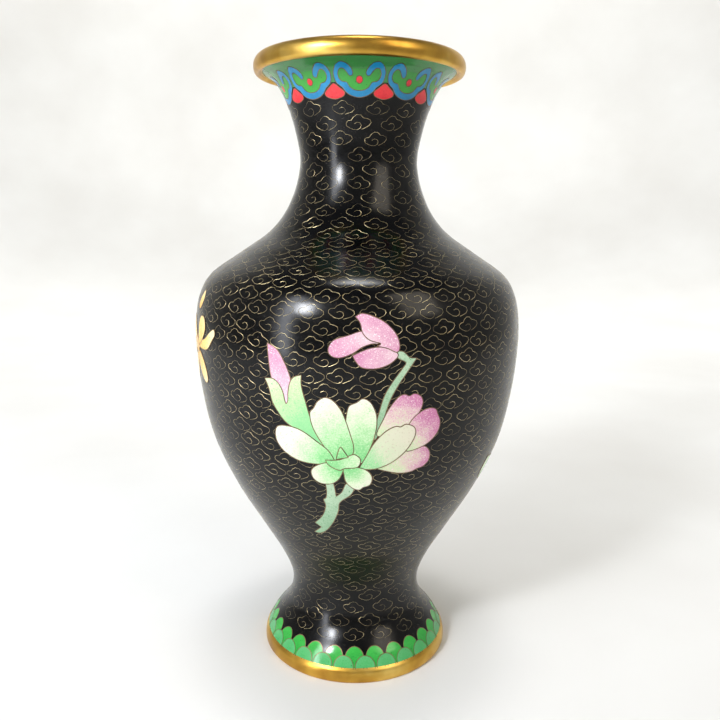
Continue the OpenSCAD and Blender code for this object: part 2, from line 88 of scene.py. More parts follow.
# Spun copper: a warm metal with the faint rings of the spinning tool and fire-stained patches.
copper, place = started("spun_copper")
stain = add(copper, "ShaderNodeTexNoise", {"Scale": 1 / (9 * MM), "Detail": 4.0}, {"Vector": place})
shade = add(copper, "ShaderNodeValToRGB", {"stops": [(0.35, COPPER_EDGE), (0.65, COPPER_FACE)]},
            {"Fac": stain.outputs["Fac"]})
rings = add(copper, "ShaderNodeTexWave", {"bands_direction": "Z", "Scale": 1 / (3 * MM), "Distortion": 0.6},
            {"Vector": place})
bump = add(copper, "ShaderNodeBump", {"Strength": 0.2, "Distance": 0.02 * MM},
           {"Height": rings.outputs["Fac"]})
copper = finished(copper, add(copper, "ShaderNodeBsdfPrincipled", {"Metallic": 1.0, "Roughness": 0.38},
                              {"Base Color": shade.outputs["Color"], "Normal": bump.outputs["Normal"]}))
for name in ("neck_wall", "shoulder_wall", "belly_wall", "foot_wall", "base_disc"):
    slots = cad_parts[name].data.materials
    slots.clear()
    slots.append(copper)


# Black ground: powdered glass packed over the whole outside of the copper, fired, ground
# level with the wires and polished. It runs on under the wires and the coloured cells.
VASE_H = 230.0
RING_Z = 224.6
WAIST_Z = 25.0
BELLY_Z = 127.0
FOOT_TOP = 5.8
ENAMEL_T = 0.8
COPPER_T = 1.0
LINING_T = 0.4
STEPS_ROUND = 192
# Outside of the enamelled body, height and radius in millimetres from the foot to the lip
PROFILE = [
    (0, 40), (6, 36), (10, 33.7), (15, 29.6), (19, 27.2), (WAIST_Z, 25.8), (32, 26.7), (42, 31), (54, 38),
    (72, 48.4), (90, 56.2), (108, 60.2), (BELLY_Z, 62), (140, 61.2), (148, 58.6), (153, 54.6), (160, 44.4),
    (168, 33.2), (178, 26), (192, 22), (204, 23.6), (216, 27.6), (222, 31.4), (RING_Z, 35.6), (232, 44),
    (240, 52),
]


def radius_at(z):
    """Radius of the outside at height z: a smooth curve through the profile."""
    i = 1
    while i < len(PROFILE) - 3 and z >= PROFILE[i + 1][0]:
        i += 1
    (z0, r0), (z1, r1), (z2, r2), (z3, r3) = PROFILE[i - 1 : i + 3]
    h = z2 - z1
    t = (z - z1) / h
    rise_in = h * (r2 - r0) / (z2 - z0)
    rise_out = h * (r3 - r1) / (z3 - z1)
    return (r1 * (1 + 2 * t) * (1 - t) ** 2 + rise_in * t * (1 - t) ** 2
            + r2 * t * t * (3 - 2 * t) + rise_out * t * t * (t - 1))


HEIGHTS = np.linspace(2, 234, 2321)
RADII = np.array([radius_at(z) for z in HEIGHTS])
SLOPES = np.gradient(RADII, HEIGHTS)
LENGTHS = np.concatenate([[0], np.cumsum(np.hypot(np.diff(RADII), np.diff(HEIGHTS)))])


def skin(z, depth):
    """Point of the wall at a depth under the outside, as radius and height in millimetres."""
    r, s = np.interp(z, HEIGHTS, RADII), np.interp(z, HEIGHTS, SLOPES)
    n = 1 / math.hypot(1, s)
    return r - depth * n, z + depth * s * n


def skin_line(z0, z1, depth, count):
    """The wall's line between two heights, its stations evenly spaced along the surface."""
    ends = np.interp([z0, z1], HEIGHTS, LENGTHS)
    heights = np.interp(np.linspace(ends[0], ends[1], count), LENGTHS, HEIGHTS)
    return [skin(z, depth) for z in heights]


def spun(section):
    """A closed section of (radius, height) points in millimetres spun about the vase's axis."""
    bm = bmesh.new()
    ring = [bm.verts.new((r * MM, 0, z * MM)) for r, z in section]
    edges = [bm.edges.new((a, b)) for a, b in zip(ring, ring[1:] + ring[:1])]
    bmesh.ops.spin(bm, geom=ring + edges, cent=(0, 0, 0), axis=(0, 0, 1), angle=2 * math.pi,
                   steps=STEPS_ROUND, use_merge=True)
    bmesh.ops.remove_doubles(bm, verts=bm.verts, dist=1e-7)
    return bm


def piece(bm, name, material, slot, *nodes):
    """Makes a finished piece of a bmesh; it stands for the named nodes of the solid model."""
    bmesh.ops.recalc_face_normals(bm, faces=bm.faces)
    mesh = bpy.data.meshes.new(name)
    bm.to_mesh(mesh)
    bm.free()
    mesh.shade_smooth()
    mesh.set_sharp_from_angle(angle=math.radians(40))
    mesh.materials.append(material)
    obj = bpy.data.objects.new(name, mesh)
    bpy.context.scene.collection.objects.link(obj)
    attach(obj, "root")
    if nodes:
        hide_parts(*nodes)
    return obj


# Widths in millimetres of the drifts of lighter and darker powder, and of the polishing ripples
DRIFT_W = 4
RIPPLE_W = 7
RIPPLE_H = 0.05
PIT_EDGE = 0.06
PIT_DEPTH = 0.12


def enamel(name, stops, speck, grain=0.3, speck_share=0.66, roughness=0.13, coarse=0.5, speck_w=0.8,
           shine=0.5):
    """Fired and polished opaque glass: glossy, with the grain of the powders that were mixed in
    each cell, a few pinholes and the slight waviness left by stone polishing. The point
    attribute "shade" runs from 0, the cell's base, to 1, its tip, and picks the colour."""
    material, place = started(name)
    tone = add(material, "ShaderNodeAttribute", {"attribute_name": "shade"})
    powder = add(material, "ShaderNodeTexNoise",
                 {"Scale": 1 / (coarse * MM), "Detail": 3.0, "Roughness": 0.75}, {"Vector": place})
    cloud = add(material, "ShaderNodeTexNoise", {"Scale": 1 / (DRIFT_W * MM), "Detail": 2.0},
                {"Vector": place})
    mixed = add(material, "ShaderNodeMath", {"operation": "MULTIPLY_ADD", 1: grain * 4, 2: -grain * 2},
                {0: powder.outputs["Fac"]})
    drift = add(material, "ShaderNodeMath", {"operation": "MULTIPLY_ADD", 1: grain * 1.6, 2: -grain * 0.8},
                {0: cloud.outputs["Fac"]})
    both = add(material, "ShaderNodeMath", {"operation": "ADD"},
               {0: mixed.outputs[0], 1: drift.outputs[0]})
    at = add(material, "ShaderNodeMath", {"operation": "ADD", "use_clamp": True},
             {0: both.outputs[0], 1: tone.outputs["Fac"]})
    colour = add(material, "ShaderNodeValToRGB", {"stops": stops}, {"Fac": at.outputs[0]})
    holes = add(material, "ShaderNodeTexNoise", {"Scale": 1 / (speck_w * MM), "Detail": 1.0},
                {"Vector": place})
    pit = add(material, "ShaderNodeMapRange", {"From Min": speck_share, "From Max": speck_share + PIT_EDGE},
              {"Value": holes.outputs["Fac"]})
    stained = add(material, "ShaderNodeMix", {"data_type": "RGBA", 7: linear(speck)},
                  {0: pit.outputs["Result"], 6: colour.outputs["Color"]})
    ripple = add(material, "ShaderNodeTexNoise", {"Scale": 1 / (RIPPLE_W * MM), "Detail": 1.0},
                 {"Vector": place})
    low = add(material, "ShaderNodeMath", {"operation": "MULTIPLY_ADD", 1: -PIT_DEPTH, 2: 0.0},
              {0: pit.outputs["Result"]})
    level = add(material, "ShaderNodeMath", {"operation": "ADD"},
                {0: ripple.outputs["Fac"], 1: low.outputs[0]})
    bump = add(material, "ShaderNodeBump", {"Strength": 0.5, "Distance": RIPPLE_H * MM},
               {"Height": level.outputs[0]})
    gloss = add(material, "ShaderNodeMapRange", {"To Min": roughness - 0.04, "To Max": roughness + 0.08},
                {"Value": cloud.outputs["Fac"]})
    return finished(material, add(
        material, "ShaderNodeBsdfPrincipled", {"IOR": 1.5, "Specular IOR Level": shine},
        {"Base Color": stained.outputs[2], "Roughness": gloss.outputs["Result"],
         "Normal": bump.outputs["Normal"]}))


# Black enamel: deep and glossy, with sparse brownish pinholes.
black = enamel("black_fired_enamel", [(0.0, "#020203"), (0.6, "#040405"), (1.0, "#11100f")],
               "#26211a", speck_share=0.68, roughness=0.17, shine=0.28)
ground = spun(skin_line(FOOT_TOP, RING_Z, 0, 200) + skin_line(RING_Z, FOOT_TOP, ENAMEL_T, 60))
piece(ground, "black_ground", black, "black_enamel", "neck_ground", "body_ground", "foot_ground")


# Inside enamel: a thin turquoise counter-enamel fired on the inside and under the foot, so
# that the copper doesn't warp. It is rougher than the outside, because nobody polishes it.
FLOOR_Z = 10.0
BASE_Z = 9.0
blue = enamel("blue_counter_enamel", [(0.0, "#1f6f9c"), (0.6, "#3d9cc4"), (1.0, "#7cc3d8")], "#0f3850",
              grain=0.35, speck_share=0.62, roughness=0.3)
INNER = ENAMEL_T + COPPER_T
LINED = INNER + LINING_T
lining = spun(skin_line(FLOOR_Z, RING_Z, INNER, 90) + skin_line(RING_Z, FLOOR_Z + LINING_T, LINED, 90)
              + [(0, FLOOR_Z + LINING_T), (0, FLOOR_Z)])
piece(lining, "inside_enamel", blue, "lining_blue", "neck_lining", "body_lining", "floor_lining")
under = spun(skin_line(FOOT_TOP, BASE_Z, INNER, 5) + [(0, BASE_Z), (0, BASE_Z - LINING_T)]
             + skin_line(BASE_Z - LINING_T, FOOT_TOP, LINED, 5))
piece(under, "underside_enamel", blue, "lining_blue", "foot_lining", "base_enamel")


# Gilt rings: turned brass, soldered over the lip and round the foot, then gilded and
# buffed. Fine buffing lines run round them, and the gold is worn thin along the edges.
MOUTH_R = 38.8
MOUTH_IN = 32.8
MOUTH_H = VASE_H - RING_Z
LIP_H = 1.0
FOOT_R = 37.5
FOOT_IN = 33.3


def smooth(points, detail, closed=True):
    """A smooth line through the points; a doubled point stays a sharp corner."""
    n = len(points)
    line = []
    for i in range(n if closed else n - 1):
        if closed:
            a, b, c, d = (points[(i + k) % n] for k in (-1, 0, 1, 2))
        else:
            a, b, c, d = (points[min(max(i + k, 0), n - 1)] for k in (-1, 0, 1, 2))
        if b == c:
            continue
        for j in range(detail):
            t = j / detail
            line.append(tuple(
                q + t * (r - p) / 2 + t * t * (p - 2.5 * q + 2 * r - s / 2)
                + t ** 3 * (1.5 * (q - r) + (s - p) / 2)
                for p, q, r, s in zip(a, b, c, d)))
    if not closed:
        line.append(points[-1])
    return line


# Gilding over brass: warm yellow metal, streaked round by the buffing wheel.
gilt, place = started("buffed_gilding")
turned = add(gilt, "ShaderNodeMapping", {"Scale": (40, 40, 1 / (0.5 * MM))}, {"Vector": place})
lines = add(gilt, "ShaderNodeTexNoise", {"Scale": 1.0, "Detail": 3.0},
            {"Vector": turned.outputs["Vector"]})
patch = add(gilt, "ShaderNodeTexNoise", {"Scale": 1 / (14 * MM), "Detail": 3.0}, {"Vector": place})
tone = add(gilt, "ShaderNodeValToRGB",
           {"stops": [(0.3, "#a87a30"), (0.5, "#cda044"), (0.7, "#e6c46a")]}, {"Fac": patch.outputs["Fac"]})
gloss = add(gilt, "ShaderNodeMapRange", {"To Min": 0.24, "To Max": 0.42}, {"Value": patch.outputs["Fac"]})
bump = add(gilt, "ShaderNodeBump", {"Strength": 0.35, "Distance": 0.02 * MM},
           {"Height": lines.outputs["Fac"]})
gilt = finished(gilt, add(gilt, "ShaderNodeBsdfPrincipled", {"Metallic": 1.0},
                          {"Base Color": tone.outputs["Color"], "Roughness": gloss.outputs["Result"],
                           "Normal": bump.outputs["Normal"]}))
mouth = spun(smooth([
    (MOUTH_R, RING_Z + MOUTH_H * 0.4), (MOUTH_R - 0.9, RING_Z + MOUTH_H * 0.82), (MOUTH_R - 2.8, VASE_H),
    (MOUTH_IN + 0.9, VASE_H - MOUTH_H * 0.2), (MOUTH_IN, RING_Z + MOUTH_H * 0.35), (MOUTH_IN + 0.2, RING_Z),
    (MOUTH_IN + 0.2, RING_Z), (MOUTH_R - 2.6, RING_Z), (MOUTH_R - 2.6, RING_Z),
    (MOUTH_R - 1.6, RING_Z - LIP_H), (MOUTH_R - 0.4, RING_Z - LIP_H * 0.2)], 6))
piece(mouth, "mouth_ring_gilt", gilt, "gilt_brass", "mouth_ring")
foot = spun(smooth([
    (FOOT_IN, 0), (FOOT_IN, 0), (FOOT_R - 0.7, 0), (FOOT_R - 0.7, 0), (FOOT_R - 0.15, 0.6), (FOOT_R, 1.6),
    (FOOT_R - 0.1, 3), (FOOT_R - 0.5, 4.6), (FOOT_R - 1.4, FOOT_TOP), (FOOT_R - 1.4, FOOT_TOP),
    (FOOT_IN, FOOT_TOP), (FOOT_IN, FOOT_TOP)], 4))
piece(foot, "foot_ring_gilt", gilt, "gilt_brass", "foot_ring")


# Cloud scrolls: brass wire 0.3 mm wide bent into small clouds, set on edge by hand in
# staggered rows all over the black ground, and ground level with it.
CLOUD = [
    (-1.4, -0.2), (-0.5, 0.2), (0.4, 0), (0.9, -0.8), (0.5, -1.7), (-0.6, -2.2), (-1.9, -2), (-3.2, -1.3),
    (-4.1, -0.6), (-4.1, 0.3), (-3.4, 0.9), (-2.3, 1), (-1.6, 1.9), (-0.4, 2.6), (0.9, 2.4), (1.8, 1.4),
    (3, 1.1), (4, 0.6), (4.2, -0.3), (3.4, -1.2), (2, -1.8), (0.9, -2.2),
]
CLOUD_WIRE = [(-0.11, -0.03), (0.0, 0.03), (0.11, -0.03)]
ROW_PITCH = 5.15
CLOUD_LOW = 15.5
CLOUD_HIGH = 209.5
WIRE_SINK = 0.03


def wire(line, section, closed=False):
    """A wire of the given section (across, rise) drawn along a line on a flat sheet: x across,
    y the rise over the sheet, z up the sheet."""
    line = [Vector((x, 0, z)) for x, z in line]
    count = len(line)
    around = line + line[:1] if closed else line
    turns = []
    for i in range(len(around)):
        if closed:
            ahead = line[(i + 1) % count] - line[(i - 1) % count]
        else:
            ahead = line[min(i + 1, count - 1)] - line[max(i - 1, 0)]
        turns.append(math.atan2(ahead.z, ahead.x))
    bm = bmesh.new()
    first = Matrix.Rotation(-turns[0], 3, "Y")
    ring = [bm.verts.new(around[0] + first @ Vector((0, rise, across))) for across, rise in section]
    edges = [bm.edges.new((a, b)) for a, b in zip(ring, ring[1:] + ring[:1])]
    for i in range(1, len(around)):
        grown = bmesh.ops.extrude_edge_only(bm, edges=edges)["geom"]
        verts = [g for g in grown if isinstance(g, bmesh.types.BMVert)]
        edges = [g for g in grown if isinstance(g, bmesh.types.BMEdge)]
        bmesh.ops.rotate(bm, verts=verts, cent=around[i - 1],
                         matrix=Matrix.Rotation(-(turns[i] - turns[i - 1]), 3, "Y"))
        bmesh.ops.translate(bm, verts=verts, vec=around[i] - around[i - 1])
    if closed:
        bmesh.ops.remove_doubles(bm, verts=bm.verts, dist=1e-4)
    else:
        bmesh.ops.holes_fill(bm, edges=bm.edges, sides=len(section))
    mesh = bpy.data.meshes.new("flat_wire")
    bm.to_mesh(mesh)
    bm.free()
    return mesh


def flat_points(mesh):
    points = np.empty(len(mesh.vertices) * 3)
    mesh.vertices.foreach_get("co", points)
    return points.reshape(-1, 3)


def lay(bm, mesh, flat, azimuth):
    """Adds a flat mesh to bm, bent onto the wall: its points go to the flat places given, and
    azimuth is each point's angle round the vase, from the front towards +X."""
    r = np.interp(flat[:, 2], HEIGHTS, RADII)
    s = np.interp(flat[:, 2], HEIGHTS, SLOPES)
    n = 1 / np.hypot(1, s)
    out = r + flat[:, 1] * n
    up = flat[:, 2] - flat[:, 1] * s * n
    placed = np.column_stack([out * np.sin(azimuth), -out * np.cos(azimuth), up]) * MM
    copy = mesh.copy()
    copy.vertices.foreach_set("co", placed.astype(np.float32).ravel())
    bm.from_mesh(copy)
    bpy.data.meshes.remove(copy)


# Brass wire, gilded and since dulled: pale gold where it is clean, grey-brown where it isn't.
brass, place = started("dulled_gilt_wire")
worn = add(brass, "ShaderNodeTexNoise", {"Scale": 1 / (5 * MM), "Detail": 3.0}, {"Vector": place})
tone = add(brass, "ShaderNodeValToRGB",
           {"stops": [(0.35, "#6a604e"), (0.5, "#a1946f"), (0.66, "#d6c598")]},
           {"Fac": worn.outputs["Fac"]})
brass = finished(brass, add(brass, "ShaderNodeBsdfPrincipled", {"Metallic": 1.0, "Roughness": 0.42},
                            {"Base Color": tone.outputs["Color"]}))
cloud = wire(smooth(CLOUD, 1, closed=False), CLOUD_WIRE)
cloud_flat = flat_points(cloud)
# Each piece of cloud wires and the height where it ends
ZONE_TOPS = {"foot": 42, "belly": 110, "shoulder": 158, "neck": 240}
# Clouds stand closer together where the vase is wide: radii and the pitch at each
PITCH_RADII = [22, 34, 46]
PITCHES = [12.2, 10.4, 9.7]
# How far a cloud may stray up or down, round in parts of the pitch, in tilt and in size
STRAY_UP = 0.25
STRAY_ROUND = 0.05
STRAY_TILT = 7
SIZES = (0.93, 1.05)
chance = random.Random(7)
beds = {zone: bmesh.new() for zone in ZONE_TOPS}
row_ends = np.interp([CLOUD_LOW, CLOUD_HIGH], HEIGHTS, LENGTHS)
rows = round((row_ends[1] - row_ends[0]) / ROW_PITCH)
for row in range(rows + 1):
    z_row = np.interp(row_ends[0] + (row_ends[1] - row_ends[0]) * row / rows, LENGTHS, HEIGHTS)
    r_row = np.interp(z_row, HEIGHTS, RADII)
    pitch = np.interp(r_row, PITCH_RADII, PITCHES)
    count = round(2 * math.pi * r_row / pitch)
    for i in range(count):
        z = z_row + chance.uniform(-STRAY_UP, STRAY_UP)
        azimuth = 2 * math.pi * (i + 0.5 * (row % 2) + chance.uniform(-STRAY_ROUND, STRAY_ROUND)) / count
        tilt = math.radians(chance.uniform(-STRAY_TILT, STRAY_TILT))
        size = chance.uniform(*SIZES)
        across = size * (cloud_flat[:, 0] * math.cos(tilt) - cloud_flat[:, 2] * math.sin(tilt))
        along = size * (cloud_flat[:, 0] * math.sin(tilt) + cloud_flat[:, 2] * math.cos(tilt))
        length = np.interp(z, HEIGHTS, LENGTHS) + along
        height = np.interp(length, LENGTHS, HEIGHTS)
        flat = np.column_stack([across, cloud_flat[:, 1], height])
        zone = next(k for k, top in ZONE_TOPS.items() if z_row < top)
        lay(beds[zone], cloud, flat, azimuth + across / np.interp(height, HEIGHTS, RADII))
for zone, bed in beds.items():
    piece(bed, "cloud_wires_" + zone, brass, "wire_brass")


# Magnolia spray on the front: one enamel cell for each petal, leaf and stem, filled with
# powders shaded from one colour to the next, inside wires bent to the drawing.
LEVEL_0 = 0.05
LEVEL_STEP = 0.022
WIRE_RISE = 0.006
WIRE_CROWN = 0.004
CELL_WIRE = 0.15
GRID = 1.2


def cut(bm, spot, way, drop=False):
    """Cuts all of a mesh along a plane, and drops what lies behind it if asked to."""
    bmesh.ops.bisect_plane(bm, geom=bm.verts[:] + bm.edges[:] + bm.faces[:], plane_co=spot, plane_no=way,
                           clear_inner=drop)


def sheet(outline, low=None):
    """A flat sheet inside an outline, cut into small fields so that it can bend; all of it
    under the height low is left out."""
    bm = bmesh.new()
    bm.faces.new([bm.verts.new((x, 0, z)) for x, z in outline])
    xs, zs = zip(*outline)
    if low is not None:
        cut(bm, (0, 0, low), (0, 0, 1), drop=True)
    for axis, lo, hi in ((0, min(xs), max(xs)), (2, min(zs), max(zs))):
        cuts = int((hi - lo) / GRID)
        for i in range(1, cuts + 1):
            spot, way = [0, 0, 0], [0, 0, 0]
            spot[axis], way[axis] = lo + (hi - lo) * i / (cuts + 1), 1
            cut(bm, spot, way)
    return bm


def cell(bed, outline, level, base, reach, turns=(0,), low=None):
    """Lays one enamel cell on the wall at each turn. Its shade grows from 0 at the base point
    to 1 at the distance reach from it."""
    top = LEVEL_0 + LEVEL_STEP * level
    bm = sheet(outline, low)
    shade = bm.verts.layers.float.new("shade")
    grown = bmesh.ops.extrude_face_region(bm, geom=bm.faces[:])["geom"]
    bmesh.ops.translate(bm, verts=[g for g in grown if isinstance(g, bmesh.types.BMVert)], vec=(0, 1, 0))
    for v in bm.verts:
        v[shade] = min(math.hypot(v.co.x - base[0], v.co.z - base[1]) / reach, 1)
        v.co.y = top if v.co.y > 0.5 else -WIRE_SINK
    bmesh.ops.recalc_face_normals(bm, faces=bm.faces)
    mesh = bpy.data.meshes.new("flat_cell")
    bm.to_mesh(mesh)
    bm.free()
    flat = flat_points(mesh)
    for turn in turns:
        lay(bed, mesh, flat, turn + np.arcsin(flat[:, 0] / np.interp(flat[:, 2], HEIGHTS, RADII)))
    bpy.data.meshes.remove(mesh)


def outline_wire(bed, line, level, turns=(0,), closed=True, half=CELL_WIRE):
    """Lays the wire of a cell along its outline at each turn."""
    top = LEVEL_0 + LEVEL_STEP * level + WIRE_RISE
    section = [(-half, -WIRE_SINK), (-half, top), (0, top + WIRE_CROWN), (half, top), (half, -WIRE_SINK)]
    mesh = wire(line, section, closed)
    flat = flat_points(mesh)
    for turn in turns:
        lay(bed, mesh, flat, turn + np.arcsin(flat[:, 0] / np.interp(flat[:, 2], HEIGHTS, RADII)))
    bpy.data.meshes.remove(mesh)


CUP_TIP = [(-6.5, 96), (-6.5, 96), (-5.8, 98.8), (-5, 100.4), (-3.6, 98.5), (-2.5, 96.8), (-2.5, 96.8)]
CUP = [(-10, 95.5), (-10, 95.5), (-5.5, 95.8), (-2, 97.5), (-0.3, 97.8), (1.4, 96), (0.5, 93.2),
       (-3.5, 92.7), (-5.5, 91.9), (-8.8, 93.5)]
SEPAL_LEFT = [(-8.5, 94.5), (-12.5, 93.4), (-14.7, 91), (-14, 88), (-11.5, 86.3), (-8, 86.4),
              (-5.5, 88.5), (-4.1, 92), (-4.1, 92)]
SEPAL_RIGHT = [(-3.8, 93), (1, 93), (4, 91.5), (5.3, 89), (4.6, 86.2), (2.4, 85.2), (1.2, 84.2),
               (-1, 84.8), (-3.2, 87.2), (-3.9, 90)]
PETAL_LEFT = [(-26.4, 104.5), (-25, 106.3), (-21, 106.4), (-17, 105), (-12.5, 101.8), (-9, 99),
              (-7, 95.6), (-7, 95.6), (-10, 94), (-15.5, 93.8), (-20, 94.9), (-24, 97.5), (-26.2, 101)]
PETAL_CREAM = [(0.8, 92.5), (0.8, 92.5), (3.4, 97.5), (6, 102.3), (9.5, 106), (12.5, 107.5), (14.2, 107.3),
               (16, 108.1), (18.6, 106.9), (19.1, 104.3), (17.6, 100.8), (15, 97.4), (11, 94.3), (6, 92.4)]
PETAL_MID_LEFT = [(-14.8, 112), (-13.6, 113.6), (-12.4, 115.8), (-10, 117.3), (-7.3, 116.2), (-4.8, 113),
                  (-3.2, 109), (-1.8, 104.5), (-0.8, 100.5), (-1.4, 97.6), (-4.5, 95.6), (-7.3, 95.4),
                  (-10, 99.8), (-13, 104.8), (-14.5, 108.7)]
PETAL_MID_RIGHT = [(-3, 112.5), (-2.2, 114.8), (0, 115.9), (2, 117.2), (4.5, 115.8), (6.2, 112),
                   (6.4, 107.5), (5.2, 102), (3.4, 97.5), (1.4, 94.5), (-2, 97), (-2.5, 103), (-3.4, 108)]
PINK_MID = [(17.2, 108.6), (20, 111.6), (23, 113), (25.5, 112.6), (26.4, 110.6), (27.3, 108),
            (26.8, 104.6), (24.3, 101.3), (21, 99.4), (16, 98.5), (15, 103)]
PINK_TOP = [(6.6, 104.5), (8.3, 109.6), (10.5, 114), (13, 117.3), (15.2, 118.3), (16.7, 117.7),
            (18.5, 118.4), (20.6, 117.2), (21.2, 115), (20.2, 112), (17, 107), (12, 104.5)]
PINK_LOW = [(16, 98.5), (20.5, 99.5), (22.8, 99.4), (24.3, 97), (24, 94), (22.2, 92), (20.2, 91.4),
            (17.8, 90.4), (13.5, 90.4), (7, 92.3), (7, 92.3), (11, 96)]
CALYX = [(-29.6, 122), (-29.6, 122), (-28.2, 118.5), (-27.3, 114.5), (-25.4, 111), (-22.5, 107.5),
         (-16, 103.5), (-9, 98.5), (-9.6, 101.8), (-12.3, 105.5), (-14.6, 109.8), (-16.1, 115),
         (-17.5, 120.5), (-17.5, 124.2), (-17.5, 124.2), (-20, 123.3), (-21.3, 121.2), (-21.9, 118),
         (-22, 115.4), (-22.6, 114.2), (-23.1, 115.6), (-23.6, 118), (-24.9, 120.6), (-27, 122.2)]
BUD = [(-28.6, 133.6), (-28.6, 133.6), (-25.5, 132), (-23, 128), (-21.2, 123.4), (-20.6, 119),
       (-20.8, 114.5), (-22.4, 112.6), (-24.2, 114.5), (-25.6, 118), (-27.4, 122.4), (-28.2, 128)]
STEM_UPPER = [(5.8, 103), (6.1, 108), (7, 112), (8.7, 118), (11.2, 122.5), (14.4, 127),
              (15.2, 128.7), (12.6, 130.2), (12.2, 132.2), (14.5, 132.1), (16.6, 130.2), (18.8, 130),
              (18.8, 130), (15.6, 125.2), (12.6, 120.5), (10, 114.8), (7.6, 106)]
STEM_LOWER = [(-10.2, 88), (-8, 88), (-7, 84.2), (-6.6, 81), (-6.6, 81), (-4.7, 83), (-3.2, 86.5),
              (-0.6, 85), (-1.8, 81.8), (-5.3, 78.5), (-5.9, 74.5), (-7.4, 69.8), (-9.8, 65.2),
              (-12.4, 63), (-14.5, 63.2), (-14.5, 63.2), (-12, 66.2), (-12, 66.2), (-14.2, 68), (-14.2, 68),
              (-11.4, 72), (-10.2, 76.5), (-10.9, 79.3), (-10, 80.3), (-9.8, 83.5)]
BLOOM_TOP = [(-0.6, 143), (-0.6, 143), (1.5, 144), (5, 143.1), (9, 141), (12.2, 137.5), (13.3, 133.8),
             (12.4, 132), (9.3, 133.3), (6, 134), (6, 134), (7.3, 134.8), (4, 135.8), (1.7, 138),
             (0.9, 141)]
BLOOM_BOTTOM = [(-1.4, 131), (-1.4, 131), (1, 132.2), (4.5, 133.5), (8.5, 133.6), (12, 132.2),
                (12.7, 130.6), (10, 128.2), (6, 126.9), (1.6, 127.2), (-0.3, 129)]
BLOOM_LEFT = [(2, 138.7), (-3, 137.2), (-7.3, 135.7), (-9, 133), (-8.2, 130.9), (-5.5, 130.2),
              (-1.5, 131.6), (1.5, 133.6), (4.6, 134.7), (6.6, 134.8), (4.5, 136.6)]

# Enamel shaded from spring green at the petal's base to white at its tip.
green_white = enamel("green_to_white_enamel", [(0.0, "#64c472"), (0.36, "#9ad694"), (0.7, "#d3e6c0"),
                                               (1.0, "#e9e8d6")], "#b4dba6", grain=0.26, speck_share=0.64,
                     speck_w=0.6)
# Enamel shaded from cream at the base to rose at the tip, the two powders mixed by the grain.
rose = enamel("cream_to_rose_enamel", [(0.0, "#b2d8a0"), (0.35, "#d6dfb8"), (0.6, "#dfc6c0"),
                                       (0.82, "#d496b4"), (1.0, "#c878a4")],
              "#ecd6de", grain=0.36, speck_share=0.64, coarse=0.35, speck_w=0.45)
# The same rose powder mixed with white all over the cell, for the bud and the small blooms.
pale_rose = enamel("pale_rose_enamel", [(0.0, "#e4cace"), (0.5, "#daa8bc"), (1.0, "#ca86a8")],
                   "#f0e0e2", grain=0.5, speck_share=0.62, coarse=0.32, speck_w=0.4)
# Cream enamel with green only in the corner at its base.
cream = enamel("green_to_cream_enamel", [(0.0, "#74cc80"), (0.25, "#a0d89c"), (0.5, "#d3dcbc"),
                                         (1.0, "#dfd9c4")],
               "#cfc8b0", grain=0.18, speck_share=0.64, speck_w=0.6)
# Calyx of the bud: green where it joins the flower, yellowish cream towards its points.
calyx = enamel("green_to_straw_enamel", [(0.0, "#76c683"), (0.5, "#93d291"), (0.8, "#bfdca2"),
                                         (1.0, "#d6e4b8")],
               "#8cc98f", grain=0.2, speck_share=0.64, speck_w=0.6)
# Grey-green enamel of the stems.
stem_green = enamel("grey_green_enamel", [(0.0, "#84ae87"), (0.5, "#9fbf9d"), (1.0, "#bad1b4")],
                    "#6f9f78", grain=0.42, speck_share=0.64, speck_w=0.6)
# Each cell with its level, base point, reach, enamel, slot and node
MAGNOLIA = [
    (CUP_TIP, 8, (-4.5, 95), 12, green_white, "petal_green_white", "cup_tip"),
    (CUP, 7, (-12, 94), 20, green_white, "petal_green_white", "flower_cup"),
    (SEPAL_LEFT, 6, (-4, 93), 12, green_white, "petal_green_white", "sepal_left"),
    (SEPAL_RIGHT, 6, (-3, 93), 10, green_white, "petal_green_white", "sepal_right"),
    (PETAL_LEFT, 5, (-6, 93.5), 19, green_white, "petal_green_white", "petal_left"),
    (PETAL_CREAM, 5, (0, 91.5), 24, cream, "petal_cream", "petal_cream"),
    (PETAL_MID_LEFT, 4, (-3, 94), 24, green_white, "petal_green_white", "petal_mid_left"),
    (PETAL_MID_RIGHT, 3, (1, 93), 24, green_white, "petal_green_white", "petal_mid_right"),
    (PINK_MID, 2, (13, 98), 16, rose, "petal_pink", "petal_pink_mid"),
    (PINK_TOP, 1, (9, 100), 20, rose, "petal_pink", "petal_pink_top"),
    (PINK_LOW, 1, (5, 93), 22, rose, "petal_pink", "petal_pink_low"),
    (CALYX, 1, (-10, 97), 30, calyx, "petal_green_white", "bud_calyx"),
    (BUD, 0, (-21, 110), 26, pale_rose, "petal_pink", "bud_petal"),
    (STEM_UPPER, 0, (10, 100), 40, stem_green, "stem_green", "stem_upper"),
    (STEM_LOWER, 0, (-8, 60), 30, stem_green, "stem_green", "stem_lower"),
    (BLOOM_TOP, 2, (4, 134), 12, pale_rose, "petal_pink", "bloom_top"),
    (BLOOM_BOTTOM, 1, (14, 132), 16, pale_rose, "petal_pink", "bloom_bottom"),
    (BLOOM_LEFT, 0, (7, 135), 18, pale_rose, "petal_pink", "bloom_left"),
]
WIRE_GROUPS = {"flower_wires": MAGNOLIA[:11], "bud_wires": MAGNOLIA[11:13], "stem_wires": MAGNOLIA[13:15],
               "bloom_wires": MAGNOLIA[15:]}
SMOOTHNESS = 4
for outline, level, base, reach, fill, slot, node in MAGNOLIA:
    bed = bmesh.new()
    cell(bed, smooth(outline, SMOOTHNESS), level, base, reach)
    piece(bed, node + "_enamel", fill, slot, node)

